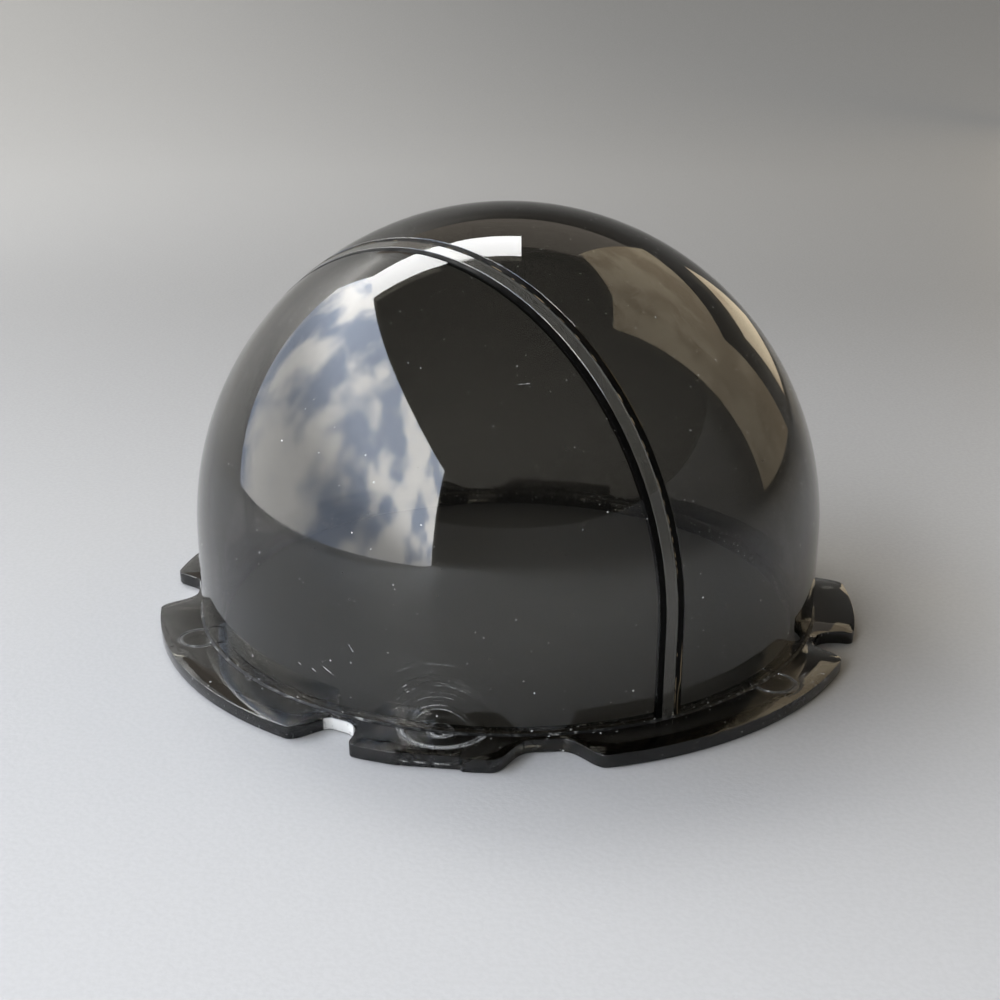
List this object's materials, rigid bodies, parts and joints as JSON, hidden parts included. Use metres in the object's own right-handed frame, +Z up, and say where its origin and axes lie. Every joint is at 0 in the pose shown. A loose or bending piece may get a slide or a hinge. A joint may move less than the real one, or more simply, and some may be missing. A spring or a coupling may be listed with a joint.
{
  "type": "dome camera cover",
  "caption": "Empty smoked bubble cover for a dome camera: a domed shell with a narrow inlaid strip over it, bonded to a flat flange with keying notches round the rim.",
  "frame": {"origin": "centre of the flange's underside, on the dome's axis", "axes": "+Z up along the dome's axis, -Y towards the tab with the trimmed gate, +X to the right of it"},
  "size_m": [0.1693, 0.1698, 0.0985],
  "materials": {
    "mounting_flange": "smoked clear plastic, glossy",
    "dome_bubble": "smoked clear plastic, polished",
    "inlaid_strip": "paler smoked plastic, polished",
    "seam_inner": "black adhesive",
    "seam_outer": "black adhesive",
    "foot_bead": "cured cement with small bubbles"
  },
  "bodies": {
    "root": {"mounting_flange": "mounting_flange", "dome_bubble": "dome_bubble", "inlaid_strip": "inlaid_strip", "seam_inner": "seam_inner", "seam_outer": "seam_outer", "foot_bead": "foot_bead"}
  },
  "joints": []
}
